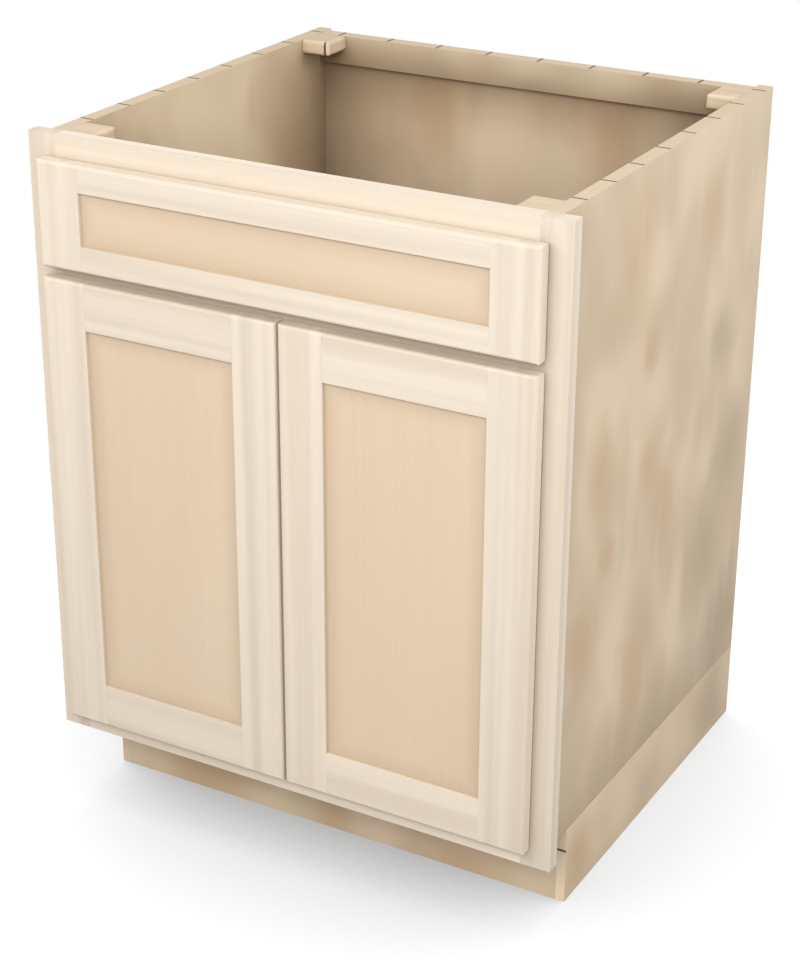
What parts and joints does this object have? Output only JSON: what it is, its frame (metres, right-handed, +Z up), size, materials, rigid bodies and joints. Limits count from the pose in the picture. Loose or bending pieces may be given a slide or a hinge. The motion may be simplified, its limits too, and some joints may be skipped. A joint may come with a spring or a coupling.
{
  "type": "base cabinet",
  "caption": "Floor-standing kitchen base cabinet: open-topped plywood case, face frame, fixed drawer front over a pair of hinged recessed-panel doors, and a recessed toe kick.",
  "frame": {"origin": "middle of the footprint of the whole cabinet, doors closed, at floor level", "axes": "+Z up, front towards -Y, +X to the right of someone who faces the front"},
  "size_m": [0.6858, 0.631, 0.8763],
  "materials": {
    "front_wood": "pale unfinished hardwood, sanded, straight grain along each member",
    "panel_veneer": "unfinished veneered panel, warm beige, fine vertical grain",
    "case_plywood": "unfinished birch plywood, soft blotchy figure, pale ply edges",
    "block_wood": "unfinished softwood, lightly sanded",
    "hinge_steel": "nickel-plated pressed steel",
    "screw_steel": "zinc-plated screws",
    "bumper_rubber": "soft clear bumper"
  },
  "bodies": {
    "carcass": {"frame_stile_left": "front_wood", "frame_stile_right": "front_wood", "frame_rail_top": "front_wood", "frame_rail_middle": "front_wood", "frame_rail_bottom": "front_wood", "frame_pocket_screws": "screw_steel", "side_panel_left": "case_plywood", "side_panel_right": "case_plywood", "floor_panel": "case_plywood", "back_panel": "case_plywood", "back_top_rail": "case_plywood", "corner_block_front_left": "block_wood", "corner_block_front_right": "block_wood", "corner_block_rear_left": "block_wood", "corner_block_rear_right": "block_wood", "plinth_side_left": "case_plywood", "plinth_side_right": "case_plywood", "toe_kick_board": "case_plywood", "plinth_rear_rail": "case_plywood", "floor_cleat_left": "block_wood", "floor_cleat_right": "block_wood", "drawer_front_stile_left": "front_wood", "drawer_front_stile_right": "front_wood", "drawer_front_rail_top": "front_wood", "drawer_front_rail_bottom": "front_wood", "drawer_front_panel": "panel_veneer", "drawer_front_bar_left": "block_wood", "drawer_front_bar_right": "block_wood", "drawer_front_screws": "screw_steel", "drawer_front_bumpers": "bumper_rubber", "left_upper_hinge_arm": "hinge_steel", "left_lower_hinge_arm": "hinge_steel", "left_hinge_frame_screws": "hinge_steel", "right_upper_hinge_arm": "hinge_steel", "right_lower_hinge_arm": "hinge_steel", "right_hinge_frame_screws": "hinge_steel"},
    "left_door": {"left_door_hinge_stile": "front_wood", "left_door_meeting_stile": "front_wood", "left_door_rail_top": "front_wood", "left_door_rail_bottom": "front_wood", "left_door_panel": "panel_veneer", "left_door_bumpers": "bumper_rubber", "left_upper_hinge_cup": "hinge_steel", "left_lower_hinge_cup": "hinge_steel", "left_upper_hinge_pin": "hinge_steel", "left_lower_hinge_pin": "hinge_steel", "left_hinge_cup_screws": "hinge_steel"},
    "right_door": {"right_door_hinge_stile": "front_wood", "right_door_meeting_stile": "front_wood", "right_door_rail_top": "front_wood", "right_door_rail_bottom": "front_wood", "right_door_panel": "panel_veneer", "right_door_bumpers": "bumper_rubber", "right_upper_hinge_cup": "hinge_steel", "right_lower_hinge_cup": "hinge_steel", "right_upper_hinge_pin": "hinge_steel", "right_lower_hinge_pin": "hinge_steel", "right_hinge_cup_screws": "hinge_steel"}
  },
  "joints": [
    {"name": "left_door_swing", "type": "hinge", "parent": "carcass", "child": "left_door", "pos_m": [-0.3095, -0.30597, 0.4191], "axis": [0, 0, -1], "range_deg": [0, 105]},
    {"name": "right_door_swing", "type": "hinge", "parent": "carcass", "child": "right_door", "pos_m": [0.3095, -0.30597, 0.4191], "axis": [0, 0, 1], "range_deg": [0, 105]}
  ]
}
